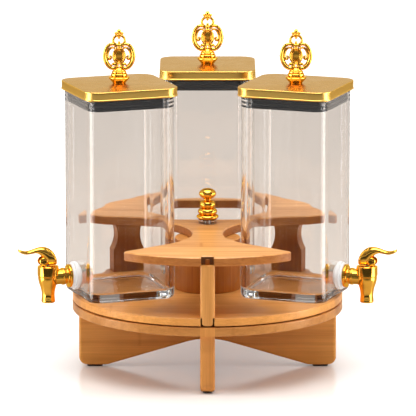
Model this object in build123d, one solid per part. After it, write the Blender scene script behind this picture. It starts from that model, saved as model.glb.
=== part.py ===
from build123d import *
from math import cos, hypot, radians, sin
import os

# Triple beverage dispenser: three glass jars with lever taps on a turning wooden stand.
# Millimetres. The turning axis is +Z, the floor is z = 0 and the front looks along -Y.

# Shared values
overrun = 2.0        # how far a cut runs past the face it opens
slide_gap = 0.3      # between pieces that move past each other
snug_gap = 0.05      # radial, round pins and rings in their holes

# Stand: two crossed arched boards on pads, under a fixed disc
disc_radius = 150.0
base_disc_thick = 10.0
disc_edge_round = 1.6
stand_height = 66.0  # floor to the underside of the fixed disc
board_thick = 16.0
board_inset = 7.0    # end of a leg board behind the rim of the discs
board_edge_round = 3.0
foot_length = 31.0
foot_corner = 9.0
foot_bend = 24.0
arch_height = 35.0
arch_crown = 90.0
ear_depth = 14.0     # rim tenon of a leg board, measured along the board
pad_thick = 2.0
pad_length = 17.0
pad_width = 10.0
pad_corner = 3.0

# Turntable disc and the ball bearing sunk between the two discs
bearing_gap = 1.5    # visible slit between the discs
table_thick = 9.0
ball_radius = 2.5
ball_circle = 60.0
ball_count = 8
race_width = 20.0
race_thick = 3.0
race_drop = 1.0      # how deep a race lies below the face of its disc
cage_width = 10.0
cage_thick = 1.6
race_screw_circle = 53.0
race_screw_count = 4
race_screw_length = 6.5
race_screw_radius = 1.25
race_screw_head = 2.4
race_screw_cone = 1.3

# Tray on its brackets, post and column
tray_height = 57.5   # clear height from the turntable to the tray
tray_thick = 10.0
tray_overhang = 2.0  # tray edge in front of the rim of the discs
tray_back_strip = 10.5
tray_least_stretch = 1.0
tray_edge_round = 1.2
tray_tip_round = 4.0
bay_radius = 80.0
bay_flare_deg = 21.0
hole_width = 124.0
hole_depth = 107.0
hole_corner = 32.0
tray_notch_width = 14.0
tray_notch_depth = 10.0
tray_notch_corner = 2.5
bracket_width = 40.0
bracket_thick = 14.0
bracket_waist = 5.0  # depth of the hollow in each side
bracket_hollow_share = 0.44
bracket_x = 90.0
bracket_y = 93.0
bracket_turn_deg = 20.0
post_width = 38.0
post_edge_round = 3.0
post_inset = 1.0     # post face behind the rim of the turntable
post_tenon_thick = 11.6
post_tenon_gap = 1.7
post_tenon_chamfer = 2.0
dowel_radius = 3.0
dowel_length = 12.0
dowel_pitch = 20.0
column_y = 10.0
column_foot_radius = 34.0
column_foot_height = 6.0
column_waist_radius = 27.0
column_top_radius = 44.0
column_top_height = 5.0
column_waist_share = 0.42
spigot_radius = 12.0
spigot_length = 5.0

# Turned knob on the tray
knob_y = 38.0
knob_foot_radius = 10.0
knob_foot_height = 4.5
knob_height = 35.0
knob_radius = 12.5
knob_screw_radius = 2.5
knob_screw_head = 5.0
knob_screw_cone = 2.6
knob_screw_bite = 12.0
knob_level_shares = (0.0, 0.15, 0.37, 0.62, 1.0)
knob_neck_shares = (0.78, 0.74, 0.56, 0.42, 0.12)
knob_bulge_shares = (1.0, 0.87, 0.7, 0.78)

# Jars: where they stand and which way their taps point
front_jar_x = 97.0
front_jar_y = -18.0
back_jar_y = 112.0
jar_turn_deg = 20.0
jar_size = 101.0
jar_corner = 15.0
jar_height = 225.0
jar_wall = 4.0
jar_floor = 9.0
jar_foot_round = 4.0
jar_floor_round = 3.0
jar_rim_round = 1.2

# Tap: heights are measured from the axis of its shank
tap_height = 23.5    # shank axis above the underside of the jar
shank_radius = 7.0
shank_bore = 4.0
shank_inner_reach = 11.0
washer_radius = 15.5
washer_step_radius = 13.8
washer_thick = 7.5
washer_step = 3.0
inner_washer_radius = 10.8
inner_washer_thick = 2.0
nut_radius = 11.0
nut_thick = 6.0
flange_radius = 12.75
flange_thick = 3.0
flange_round = 1.2
stem_radius = 8.2
stem_ring_radius = 8.9
stem_ring_width = 2.0
stem_ring_share = 0.5
spout_offset = 33.0  # barrel axis from the jar face
barrel_top = 12.5
barrel_drop = 28.0
collar_radius = 11.7
collar_height = 10.7
collar_round = 1.0
collar_groove = 0.5
barrel_radius_shares = (0.95, 0.93, 0.85, 0.7, 0.61, 0.65, 0.64)
barrel_depth_shares = (0.0, 0.14, 0.28, 0.47, 0.7, 0.92, 1.0)
chamber_radius = 7.2
seat_drop = 9.0
outlet_radius = 4.6
bonnet_radius = 9.6
bonnet_seat = 8.0
bonnet_proud = 0.7
bonnet_round = 0.6
lever_pin_x = 6.0
lever_pin_z = 18.5
lever_pin_radius = 1.5
knuckle_radius = 3.4
knuckle_thick = 5.0
lever_reach = 34.5
lever_rise = 22.2    # top of the lever above the barrel
lever_width = 13.0
lever_lift = 0.6     # hood above the barrel at rest
hood_back = 9.4
lever_boss_radius = 4.6
lever_slot_back = 7.0
lever_slot_front = 14.0
lever_slot_rise = 11.4
lever_top_shares = ((-0.27, 0.3), (-0.2, 0.62), (-0.02, 0.9), (0.2, 1.0), (0.42, 0.94), (0.66, 0.8), (0.85, 0.84))
lever_under_shares = ((0.84, 0.68), (0.64, 0.62), (0.45, 0.69), (0.36, 0.58))
lever_tip_shares = ((1.0, 0.97), (1.0, 0.87))
lever_plan_shares = ((-0.2, 0.96), (0.1, 1.0), (0.36, 0.66), (0.55, 0.55), (0.78, 0.7), (0.95, 0.5))
plunger_radius = 1.8
plunger_top = 20.5
valve_radius = 6.2
valve_thick = 3.0

# Lid: metal cover, plug with a ribbed seal, and an openwork finial
lid_size = 108.0
lid_corner = 17.0
lid_thick = 10.0
lid_edge_round = 1.8
plug_size = 84.0
plug_corner = 8.0
plug_depth = 12.5    # plug below the underside of the cover
plug_sink = 3.0      # plug inside the cover
seal_height = 11.0
seal_rib_count = 3
seal_groove = 1.4
stud_radius = 3.0
finial_height = 60.0
finial_foot_radius = 11.5
finial_foot_share = 0.27
finial_level_shares = (0.0, 0.34, 0.62, 1.0)
finial_neck_shares = (0.56, 0.94, 0.7, 0.42)
finial_bulge_shares = (0.8, 1.0, 0.66)
finial_plate_thick = 5.0
frame_half_width = 17.5
frame_half_height = 14.8
frame_band = 3.6
medal_half_width = 6.6
medal_half_height = 8.8
medal_thick = 6.4
ring_radius = 7.6
ring_band = 2.8
curl_radius = 4.2
curl_band = 1.9
curl_x_share = 0.5
curl_z_share = 0.5
top_bead_radius = 2.6
side_bead_radius = 1.8
side_bead_share = 0.42

# Levels and places that follow from the values above
board_reach = disc_radius - board_inset
base_top = stand_height + base_disc_thick
table_bottom = base_top + bearing_gap
table_top = table_bottom + table_thick
tray_bottom = table_top + tray_height
tray_top = tray_bottom + tray_thick
tray_radius = disc_radius + tray_overhang
tray_stretch = max(tray_least_stretch, back_jar_y + hole_depth / 2 + tray_back_strip - tray_radius)
ball_level = base_top + bearing_gap / 2
race_inner = ball_circle - race_width / 2
race_outer = ball_circle + race_width / 2
lower_race_top = base_top - race_drop
upper_race_bottom = table_bottom + race_drop
post_front = disc_radius - post_inset
post_y = -(post_front - post_width / 2)
jar_face = jar_size / 2
jar_inside = jar_size - 2 * jar_wall
barrel_x = jar_face + spout_offset
jars = {
    "left": Pos(-front_jar_x, front_jar_y, table_top) * Rot(0, 0, 180 + jar_turn_deg),
    "right": Pos(front_jar_x, front_jar_y, table_top) * Rot(0, 0, -jar_turn_deg),
    "back": Pos(0, back_jar_y, table_top) * Rot(0, 0, 90),
}
brackets = {
    "left": Pos(-bracket_x, bracket_y, table_top) * Rot(0, 0, bracket_turn_deg),
    "right": Pos(bracket_x, bracket_y, table_top) * Rot(0, 0, -bracket_turn_deg),
}


def upright(outline):
    """A flat outline stood up, with its second coordinate along +Z."""
    return Plane.XZ * make_face(outline)


def turned(outline):
    """A solid turned about Z from an outline of radius and height."""
    return revolve(upright(outline), Axis.Z)


def rod(radius, low, high):
    """A round bar along Z between two heights."""
    return Pos(0, 0, low) * Cylinder(radius, high - low, align=(Align.CENTER, Align.CENTER, Align.MIN))


def crossbar(radius, start, end):
    """A round bar along X between two places."""
    return Pos(start, 0, 0) * Rot(0, 90, 0) * rod(radius, 0, end - start)


def slab(width, depth, corner, low, high):
    """A block with rounded upright edges between two heights."""
    return Pos(0, 0, low) * extrude(RectangleRounded(width, depth, corner), high - low)


def bead_chain(levels, necks, bulges):
    """Arcs that swell from neck to neck up a turned outline."""
    arcs = []
    for index, bulge in enumerate(bulges):
        low, high = levels[index], levels[index + 1]
        middle = (bulge, (low + high) / 2)
        arcs.append(ThreePointArc((necks[index], low), middle, (necks[index + 1], high)))
    return arcs


def beaded(levels, necks, bulges):
    """A turned solid whose side is a chain of beads."""
    outline = bead_chain(levels, necks, bulges)
    outline.append(Polyline((necks[-1], levels[-1]), (0, levels[-1]), (0, levels[0]), (necks[0], levels[0])))
    return turned(outline)


# Stand


def leg_board():
    """An arched board along X with rounded feet and a tenon at each end that fills a rim slot."""
    foot_inner = board_reach - foot_length
    half = [
        (0, arch_height), (foot_inner, pad_thick), (board_reach, pad_thick), (board_reach, stand_height),
        (disc_radius, stand_height), (disc_radius, base_top), (disc_radius - ear_depth, base_top),
        (disc_radius - ear_depth, stand_height),
    ]
    mirrored = [(-x, z) for x, z in reversed(half[1:])]
    outline = make_face(Polyline(*half, *mirrored, close=True))

    def corners(x, z):
        return [v for v in outline.vertices() if hypot(abs(v.X) - x, v.Y - z) < snug_gap]

    outline = fillet(corners(0, arch_height), arch_crown)
    outline = fillet(corners(foot_inner, pad_thick), foot_bend)
    outline = fillet(corners(board_reach, pad_thick), foot_corner)
    board = extrude(Plane.XZ * outline, board_thick / 2, both=True)
    ends = [
        e for e in board.edges()
        if abs(e.center().X) > foot_inner and e.center().Z < stand_height - overrun
        and abs(abs(e.center().Y) - board_thick / 2) < snug_gap
    ]
    board = fillet(ends, board_edge_round)
    return board & rod(disc_radius, 0, base_top)


def half_lap(low, high):
    """The notch where one leg board takes the other."""
    return Pos(0, 0, (low + high) / 2) * Box(board_thick, 2 * board_thick, high - low)


lap_level = (arch_height + stand_height) / 2


def side_leg_board():
    return leg_board() - half_lap(lap_level, stand_height + overrun)


def front_leg_board():
    return Rot(0, 0, 90) * (leg_board() - half_lap(0, lap_level))


def foot_pads():
    pad = slab(pad_length, pad_width, pad_corner, 0, pad_thick)
    reach = board_reach - foot_corner - pad_length / 2
    return [Rot(0, 0, turn) * Pos(reach, 0, 0) * pad for turn in (0, 90, 180, 270)]


def disc(low, high):
    """A wooden disc with eased rims."""
    plate = rod(disc_radius, low, high)
    return fillet(plate.edges(), disc_edge_round)


def race_recess(low, high):
    """The ring-shaped sinking that takes a bearing race and leaves the cage room."""
    return rod(race_outer + snug_gap, low, high) - rod(race_inner - snug_gap, low, high)


def base_disc():
    plate = disc(stand_height, base_top)
    for turn in (0, 90, 180, 270):
        slot = Pos(disc_radius - ear_depth, 0, stand_height - overrun) * Box(
            ear_depth + overrun, board_thick, base_disc_thick + 2 * overrun,
            align=(Align.MIN, Align.CENTER, Align.MIN))
        plate -= Rot(0, 0, turn) * slot
    plate -= race_recess(lower_race_top - race_thick, base_top + overrun)
    return plate - race_screws(lower_race_top, -1, snug_gap)


# Bearing


def race_screws(level, direction, gap):
    """Countersunk screws from a race face into its disc, made larger by the gap for their holes."""
    radius, head = race_screw_radius + gap, race_screw_head + gap
    outline = Polyline(
        (0, 0), (head, 0), (radius, race_screw_cone), (radius, race_screw_length + gap),
        (0, race_screw_length + gap), close=True)
    screw = turned(outline)
    if direction < 0:
        screw = Rot(180, 0, 0) * screw
    return [
        Rot(0, 0, index * 360 / race_screw_count) * Pos(race_screw_circle, 0, level) * screw
        for index in range(race_screw_count)
    ]


def ball_groove():
    return Pos(0, 0, ball_level) * Torus(ball_circle, ball_radius + snug_gap)


def race(low, face, direction):
    """A flat steel ring with a ball groove and countersunk screw holes."""
    ring = rod(race_outer, low, low + race_thick) - rod(race_inner, low, low + race_thick)
    return ring - ball_groove() - race_screws(face, direction, snug_gap)


def lower_race():
    return race(lower_race_top - race_thick, lower_race_top, -1)


def upper_race():
    return race(upper_race_bottom, upper_race_bottom, 1)


def bearing_balls():
    return [
        Rot(0, 0, index * 360 / ball_count) * Pos(ball_circle, 0, ball_level) * Sphere(ball_radius)
        for index in range(ball_count)
    ]


def ball_cage():
    """A thin ring with a round pocket for each ball."""
    low, high = ball_level - cage_thick / 2, ball_level + cage_thick / 2
    ring = rod(ball_circle + cage_width / 2, low, high) - rod(ball_circle - cage_width / 2, low, high)
    pocket = rod(ball_radius + snug_gap, low - overrun, high + overrun)
    for index in range(ball_count):
        ring -= Rot(0, 0, index * 360 / ball_count) * Pos(ball_circle, 0, 0) * pocket
    return ring


# Turntable and tray


def dowels(gap):
    """Dowels that join the brackets to turntable and tray, and the post to the tray."""
    places = []
    for bracket in brackets.values():
        for side in (-1, 1):
            for level in (0, tray_height):
                places.append(bracket * Pos(side * dowel_pitch / 2, 0, level))
    for side in (-1, 1):
        places.append(Pos(0, post_y + side * dowel_pitch / 2, tray_bottom))
    return [place * Cylinder(dowel_radius + gap, dowel_length + 2 * gap) for place in places]


def column_spigot(low, gap):
    return Pos(0, column_y, 0) * rod(spigot_radius + gap, low - gap, low + spigot_length + gap)


def turntable_disc():
    plate = disc(table_bottom, table_top)
    slot_width = post_tenon_thick + 2 * post_tenon_gap
    plate -= Pos(0, -disc_radius, (table_bottom + table_top) / 2) * Box(
        slot_width, 2 * (post_width + post_inset), table_thick + 2 * overrun)
    plate -= race_recess(table_bottom - overrun, upper_race_bottom + race_thick)
    plate -= race_screws(upper_race_bottom, 1, snug_gap)
    plate -= column_spigot(table_top - spigot_length, snug_gap)
    return plate - dowels(snug_gap)


def bracket_outline():
    """A board whose sides are hollowed above a straight foot."""
    half, hollow = bracket_width / 2, tray_height * bracket_hollow_share
    middle = (hollow + tray_height) / 2
    right = ThreePointArc((half, hollow), (half - bracket_waist, middle), (half, tray_height))
    left = ThreePointArc((-half, tray_height), (bracket_waist - half, middle), (-half, hollow))
    top = Line((half, tray_height), (-half, tray_height))
    foot = Polyline((-half, hollow), (-half, 0), (half, 0), (half, hollow))
    return [right, top, left, foot]


def bracket(side):
    board = extrude(upright(bracket_outline()), bracket_thick / 2, both=True)
    return brackets[side] * board - dowels(snug_gap)


def front_post():
    """A board on edge at the rim, hollowed on its inner side, with a tenon in the rim slot."""
    half, hollow = post_width / 2, tray_height * bracket_hollow_share
    middle = (hollow + tray_height) / 2
    inner = ThreePointArc((half, hollow), (half - bracket_waist, middle), (half, tray_height))
    rest = Polyline((half, tray_height), (-half, tray_height), (-half, 0), (half, 0), (half, hollow))
    board = extrude(Plane.YZ * make_face([inner, rest]), board_thick / 2, both=True)
    front = [
        e for e in board.edges().filter_by(Axis.Z)
        if e.center().Y < -half + snug_gap
    ]
    board = fillet(front, post_edge_round)
    tenon_length = table_thick - slide_gap
    tenon = Pos(0, 0, -tenon_length / 2) * Box(post_tenon_thick, post_width, tenon_length)
    tenon = chamfer(tenon.faces().sort_by(Axis.Z)[0].edges().filter_by(Axis.Y), post_tenon_chamfer)
    return Pos(0, post_y, table_top) * (board + tenon) - dowels(snug_gap)


def center_column():
    """A turned column that flares to the tray, with a spigot at each end."""
    waist = tray_height * column_waist_share
    flare = tray_height - column_top_height
    side = Spline(
        (column_foot_radius, column_foot_height), (column_waist_radius, waist), (column_top_radius, flare))
    rest = Polyline(
        (column_top_radius, flare), (column_top_radius, tray_height), (spigot_radius, tray_height),
        (spigot_radius, tray_height + spigot_length), (0, tray_height + spigot_length), (0, -spigot_length),
        (spigot_radius, -spigot_length), (spigot_radius, 0), (column_foot_radius, 0),
        (column_foot_radius, column_foot_height))
    return Pos(0, column_y, table_top) * turned([side, rest])


def bay_outline():
    """A round bay whose sides leave along tangents that spread towards the tap."""
    flare = radians(bay_flare_deg)
    tangent = (-bay_radius * sin(flare), bay_radius * cos(flare))
    way = 2 * tray_radius
    far = (tangent[0] + way * cos(flare), tangent[1] + way * sin(flare))
    mouth = Polyline(
        tangent, far, (far[0], -far[1]), (tangent[0], -tangent[1]), close=True)
    return Circle(bay_radius) + make_face(mouth)


def tray():
    """A board longer behind than in front, with two open bays and a closed hole for the back jar."""
    outline = Pos(0, tray_stretch / 2) * Rot(0, 0, 90) * SlotCenterToCenter(tray_stretch, 2 * tray_radius)
    outline -= Pos(-front_jar_x, front_jar_y) * Rot(0, 0, 180 + jar_turn_deg) * bay_outline()
    outline -= Pos(front_jar_x, front_jar_y) * Rot(0, 0, -jar_turn_deg) * bay_outline()
    tips = [
        v for v in outline.vertices()
        if hypot(v.X, v.Y) > tray_radius - snug_gap and abs(v.X) > board_thick
    ]
    outline = fillet(tips, tray_tip_round)
    outline -= Pos(0, back_jar_y) * RectangleRounded(hole_width, hole_depth, hole_corner)
    outline -= Pos(0, -tray_radius) * RectangleRounded(
        tray_notch_width, 2 * tray_notch_depth, tray_notch_corner)
    plate = Pos(0, 0, tray_bottom) * extrude(outline, tray_thick)
    faces = plate.faces().filter_by(Axis.Z).sort_by(Axis.Z)
    plate = chamfer(faces[0].edges() + faces[-1].edges(), tray_edge_round)
    plate -= column_spigot(tray_bottom, snug_gap)
    plate -= knob_screw(snug_gap)
    return plate - dowels(snug_gap)


# Knob


def knob_screw(gap):
    """A countersunk screw from under the tray into the knob, made larger by the gap for its hole."""
    radius, head = knob_screw_radius + gap, knob_screw_head + gap
    top = tray_thick + knob_foot_height + knob_screw_bite + gap
    outline = Polyline((0, 0), (head, 0), (radius, knob_screw_cone), (radius, top), (0, top), close=True)
    return Pos(0, knob_y, tray_bottom) * turned(outline)


def knob_foot():
    foot = Pos(0, knob_y, 0) * rod(knob_foot_radius, tray_top, tray_top + knob_foot_height)
    return foot - knob_screw(snug_gap)


def tray_knob():
    levels = [share * knob_height for share in knob_level_shares]
    necks = [share * knob_radius for share in knob_neck_shares]
    bulges = [share * knob_radius for share in knob_bulge_shares]
    knob = Pos(0, knob_y, tray_top + knob_foot_height) * beaded(levels, necks, bulges)
    return knob - knob_screw(snug_gap)


# Jar and tap, drawn with the tap along +X and the underside of the jar at z = 0


def jar_glass():
    outer = slab(jar_size, jar_size, jar_corner, 0, jar_height)
    outer = fillet(outer.faces().sort_by(Axis.Z)[0].edges(), jar_foot_round)
    outer = fillet(outer.faces().sort_by(Axis.Z)[-1].edges(), jar_rim_round)
    hollow = slab(jar_inside, jar_inside, jar_corner - jar_wall, jar_floor, jar_height + overrun)
    hollow = fillet(hollow.faces().sort_by(Axis.Z)[0].edges(), jar_floor_round)
    bore = crossbar(shank_radius + slide_gap, jar_face - jar_wall - overrun, jar_face + overrun)
    return outer - hollow - Pos(0, 0, tap_height) * bore


def tap_washer():
    step = jar_face + washer_thick - washer_step
    ring = crossbar(washer_radius, jar_face, step) + crossbar(washer_step_radius, step, jar_face + washer_thick)
    return ring - crossbar(shank_radius + snug_gap, jar_face - overrun, jar_face + washer_thick + overrun)


def inner_washer():
    wall = jar_face - jar_wall
    ring = crossbar(inner_washer_radius, wall - inner_washer_thick, wall)
    return ring - crossbar(shank_radius + snug_gap, wall - inner_washer_thick - overrun, wall + overrun)


def tap_nut():
    seat = jar_face - jar_wall - inner_washer_thick
    hexagon = Pos(seat, 0, 0) * Rot(0, -90, 0) * extrude(RegularPolygon(nut_radius, 6), nut_thick)
    return hexagon - crossbar(shank_radius + snug_gap, seat - nut_thick - overrun, seat + overrun)


def barrel_side():
    """The outside of barrel and spout, from the groove under the collar down to the lip."""
    top = barrel_top - collar_height
    drop = barrel_drop + top
    points = [
        (collar_radius * radius, top - drop * depth)
        for radius, depth in zip(barrel_radius_shares, barrel_depth_shares)
    ]
    return Spline(*points)


def tap_body():
    """Flange, shank, stem and barrel in one casting, bored from the jar to the spout."""
    side = barrel_side()
    collar_low = barrel_top - collar_height
    rest = Polyline(
        side @ 1, (0, -barrel_drop), (0, barrel_top), (collar_radius - collar_round, barrel_top),
        (collar_radius, barrel_top - collar_round), (collar_radius, collar_low + collar_groove),
        (collar_radius - collar_groove, collar_low + collar_groove),
        (collar_radius - collar_groove, collar_low), side @ 0)
    barrel = Pos(barrel_x, 0, 0) * turned([side, rest])
    back = jar_face + washer_thick
    flange = crossbar(flange_radius, back, back + flange_thick)
    flange = fillet(flange.edges().sort_by(Axis.X)[-1], flange_round)
    stem = crossbar(stem_radius, back, barrel_x)
    middle = back + flange_thick + (spout_offset - washer_thick - flange_thick - collar_radius) * stem_ring_share
    ring = crossbar(stem_ring_radius, middle - stem_ring_width / 2, middle + stem_ring_width / 2)
    inner_end = jar_face - jar_wall - shank_inner_reach
    shank = crossbar(shank_radius, inner_end, back)
    body = barrel + flange + stem + ring + shank
    body -= crossbar(shank_bore, inner_end - overrun, barrel_x)
    body -= Pos(barrel_x, 0, 0) * rod(chamber_radius, -seat_drop, barrel_top)
    body -= Pos(barrel_x, 0, 0) * rod(outlet_radius, -barrel_drop - overrun, 0)
    return body - Pos(barrel_x, 0, 0) * rod(bonnet_radius + snug_gap, bonnet_seat, barrel_top + overrun)


def lever_pin(gap):
    """The pin that the lever turns on, along Y."""
    length = lever_width - 2 * slide_gap if gap == 0 else lever_width + 2 * overrun
    return Pos(lever_pin_x, 0, lever_pin_z) * Rot(90, 0, 0) * Cylinder(lever_pin_radius + gap, length)


def tap_bonnet():
    """A screwed-in cap with a hole for the plunger and an upright knuckle for the lever pin."""
    cap = rod(bonnet_radius, bonnet_seat, barrel_top + bonnet_proud)
    cap = fillet(cap.edges().sort_by(Axis.Z)[-1], bonnet_round)
    foot = barrel_top + bonnet_proud - bonnet_round
    upright_part = Pos(lever_pin_x, 0, (foot + lever_pin_z) / 2) * Box(
        2 * knuckle_radius, knuckle_thick, lever_pin_z - foot)
    eye = Pos(lever_pin_x, 0, lever_pin_z) * Rot(90, 0, 0) * Cylinder(knuckle_radius, knuckle_thick)
    cap = cap + upright_part + eye
    cap -= rod(plunger_radius + slide_gap, bonnet_seat - overrun, barrel_top + overrun)
    return Pos(barrel_x, 0, 0) * (cap - lever_pin(snug_gap))


def lever_outline():
    """Side view of the lever: a hood over the bonnet that sweeps out to an upturned tip."""
    def place(share):
        return (share[0] * lever_reach, barrel_top + share[1] * lever_rise)

    foot = barrel_top + bonnet_proud + lever_lift
    tip_top, tip_low = place(lever_tip_shares[0]), place(lever_tip_shares[1])
    top = Spline((-hood_back, foot), *[place(share) for share in lever_top_shares], tip_top)
    tip = Line(tip_top, tip_low)
    boss_side = (lever_pin_x + lever_boss_radius, lever_pin_z)
    under = Spline(tip_low, *[place(share) for share in lever_under_shares], boss_side)
    boss = RadiusArc(boss_side, (lever_pin_x, lever_pin_z - lever_boss_radius), lever_boss_radius)
    sole = Polyline((lever_pin_x, lever_pin_z - lever_boss_radius), (0, foot), (-hood_back, foot))
    return [top, tip, under, boss, sole]


def lever_plan():
    """Top view of the lever: broad hood, slim waist and a leaf-shaped end."""
    half = lever_width / 2
    side = [(x * lever_reach, y * half) for x, y in lever_plan_shares]
    nose = ThreePointArc(side[-1], (lever_reach, 0), (side[-1][0], -side[-1][1]))
    heel = ThreePointArc((side[0][0], -side[0][1]), (-hood_back, 0), side[0])
    mirrored = [(x, -y) for x, y in side]
    return make_face([Spline(*side), nose, Spline(*mirrored), heel])


def tap_lever():
    blade = extrude(upright(lever_outline()), lever_width / 2, both=True)
    blade = blade & extrude(lever_plan(), barrel_top + lever_rise + overrun)
    slot_length = lever_slot_front + lever_slot_back
    slot = Pos(-lever_slot_back, 0, 0) * Box(
        slot_length, knuckle_thick + 2 * slide_gap, barrel_top + lever_slot_rise,
        align=(Align.MIN, Align.CENTER, Align.MIN))
    return Pos(barrel_x, 0, 0) * (blade - slot - lever_pin(snug_gap))


def tap_pin():
    return Pos(barrel_x, 0, 0) * lever_pin(0)


def tap_plunger():
    """A rod with a valve disc that closes the seat above the spout."""
    low = snug_gap - seat_drop
    valve = rod(valve_radius, low, low + valve_thick)
    return Pos(barrel_x, 0, 0) * (valve + rod(plunger_radius, low, plunger_top))


# Lid, drawn in the same frame as its jar


lid_bottom = jar_height + slide_gap
lid_top = lid_bottom + lid_thick


def lid_cover():
    plate = slab(lid_size, lid_size, lid_corner, lid_bottom, lid_top)
    faces = plate.faces().sort_by(Axis.Z)
    plate = fillet(faces[0].edges() + faces[-1].edges(), lid_edge_round)
    plate -= slab(plug_size, plug_size, plug_corner, lid_bottom - overrun, lid_bottom + plug_sink)
    return plate - rod(stud_radius + snug_gap, lid_bottom, lid_top + overrun)


def lid_plug():
    block = slab(plug_size, plug_size, plug_corner, lid_bottom - plug_depth, lid_bottom + plug_sink)
    return block - rod(stud_radius + snug_gap, lid_bottom - plug_depth / 2, lid_top)


def seal_layer(size, low, high):
    ring = slab(size, size, plug_corner + (size - plug_size) / 2, low, high)
    return ring - slab(plug_size, plug_size, plug_corner, low - overrun, high + overrun)


def lid_seal():
    """A soft ring round the plug whose ribs wipe the glass."""
    outer = jar_inside - 2 * slide_gap
    low = lid_bottom - plug_depth
    step = seal_height / (2 * seal_rib_count - 1)
    ring = seal_layer(outer - 2 * seal_groove, low, low + seal_height)
    for rib in range(seal_rib_count):
        ring += seal_layer(outer, low + 2 * rib * step, low + (2 * rib + 1) * step)
    return ring


def flat_ring(x, z, half_width, half_height, band, thick):
    """An oval band that stands in the XZ plane."""
    outline = Ellipse(half_width, half_height) - Ellipse(half_width - band, half_height - band)
    return Pos(x, 0, z) * extrude(Plane.XZ * outline, thick / 2, both=True)


def finial():
    """A turned foot that carries an openwork oval, a smaller ring and beads."""
    foot_height = finial_height * finial_foot_share
    foot = beaded(
        [share * foot_height for share in finial_level_shares],
        [share * finial_foot_radius for share in finial_neck_shares],
        [share * finial_foot_radius for share in finial_bulge_shares])
    frame_z = foot_height + frame_half_height - frame_band / 2
    ring_z = frame_z + frame_half_height + ring_radius - ring_band
    bead_z = finial_height - top_bead_radius
    work = flat_ring(0, frame_z, frame_half_width, frame_half_height, frame_band, finial_plate_thick)
    work += Pos(0, 0, frame_z) * extrude(
        Plane.XZ * Ellipse(medal_half_width, medal_half_height), medal_thick / 2, both=True)
    work += Pos(0, 0, frame_z) * Box(
        frame_band, finial_plate_thick, 2 * frame_half_height - frame_band)
    work += flat_ring(0, ring_z, ring_radius, ring_radius, ring_band, finial_plate_thick)
    for side in (-1, 1):
        curl_x = side * frame_half_width * curl_x_share
        curl_z = frame_z - frame_half_height * curl_z_share
        work += flat_ring(curl_x, curl_z, curl_radius, curl_radius, curl_band, finial_plate_thick)
        bead_x = side * ring_radius * side_bead_share
        work += Pos(bead_x, 0, bead_z - top_bead_radius) * Sphere(side_bead_radius)
    work += Pos(0, 0, bead_z) * Sphere(top_bead_radius)
    neck_low = ring_z + ring_radius - ring_band / 2
    work += rod(side_bead_radius, neck_low, bead_z)
    stud = rod(stud_radius, -lid_thick - plug_depth / 2 + overrun, 0)
    return foot + work + stud


# Every piece under its own name


pieces = {
    "side_leg_board": side_leg_board(),
    "front_leg_board": front_leg_board(),
    "foot_pads": foot_pads(),
    "base_disc": base_disc(),
    "lower_race": lower_race(),
    "lower_race_screws": race_screws(lower_race_top, -1, 0),
    "bearing_balls": bearing_balls(),
    "ball_cage": ball_cage(),
    "upper_race": upper_race(),
    "upper_race_screws": race_screws(upper_race_bottom, 1, 0),
    "turntable_disc": turntable_disc(),
    "left_bracket": bracket("left"),
    "right_bracket": bracket("right"),
    "front_post": front_post(),
    "center_column": center_column(),
    "tray_dowels": dowels(0),
    "tray": tray(),
    "knob_foot": knob_foot(),
    "knob_screw": knob_screw(0),
    "tray_knob": tray_knob(),
}

jar_pieces = {"jar": jar_glass(), "lid_cover": lid_cover(), "lid_plug": lid_plug(), "lid_seal": lid_seal()}
tap_pieces = {
    "tap_washer": tap_washer(),
    "inner_washer": inner_washer(),
    "tap_nut": tap_nut(),
    "tap_body": tap_body(),
    "tap_bonnet": tap_bonnet(),
    "tap_lever": tap_lever(),
    "lever_pin": tap_pin(),
    "tap_plunger": tap_plunger(),
}
crest = finial()
for place, frame in jars.items():
    for name, piece in jar_pieces.items():
        pieces[f"{place}_{name}"] = frame * piece
    for name, piece in tap_pieces.items():
        pieces[f"{place}_{name}"] = frame * Pos(0, 0, tap_height) * piece
    pieces[f"{place}_finial"] = Pos(*frame.position) * Pos(0, 0, lid_top) * crest

os.makedirs("parts", exist_ok=True)
for name, piece in pieces.items():
    solids = piece if isinstance(piece, list) else [piece]
    export_step(Compound(children=[s for item in solids for s in item.solids()]), f"parts/{name}.step")
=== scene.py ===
import bmesh
import bpy
import numpy as np
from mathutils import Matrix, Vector


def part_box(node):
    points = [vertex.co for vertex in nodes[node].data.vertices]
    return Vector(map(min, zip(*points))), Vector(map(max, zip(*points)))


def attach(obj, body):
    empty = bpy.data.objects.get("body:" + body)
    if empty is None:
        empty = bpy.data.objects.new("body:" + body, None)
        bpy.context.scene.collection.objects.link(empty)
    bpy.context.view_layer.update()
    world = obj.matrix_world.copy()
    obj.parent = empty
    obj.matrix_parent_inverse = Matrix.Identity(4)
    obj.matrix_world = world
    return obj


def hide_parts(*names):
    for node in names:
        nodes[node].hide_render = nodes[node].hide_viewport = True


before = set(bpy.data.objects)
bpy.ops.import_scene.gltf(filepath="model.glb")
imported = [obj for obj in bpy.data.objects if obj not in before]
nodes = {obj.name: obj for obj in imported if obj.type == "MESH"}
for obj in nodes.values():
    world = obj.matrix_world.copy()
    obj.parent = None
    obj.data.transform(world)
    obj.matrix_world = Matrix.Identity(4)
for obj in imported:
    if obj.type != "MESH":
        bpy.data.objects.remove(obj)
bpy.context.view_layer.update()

# Crossed leg boards
# Two arched boards of laminated bamboo, halved into each other under the discs.
# Sawn with the fibres along the board, eased at the ends and lacquered to a satin gloss.


def fill(tree, node, inputs):
    """Sets the inputs of a shader node to values, or links them, by name or number."""
    for key, value in inputs.items():
        if isinstance(value, bpy.types.NodeSocket):
            tree.links.new(value, node.inputs[key])
        else:
            node.inputs[key].default_value = value


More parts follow.
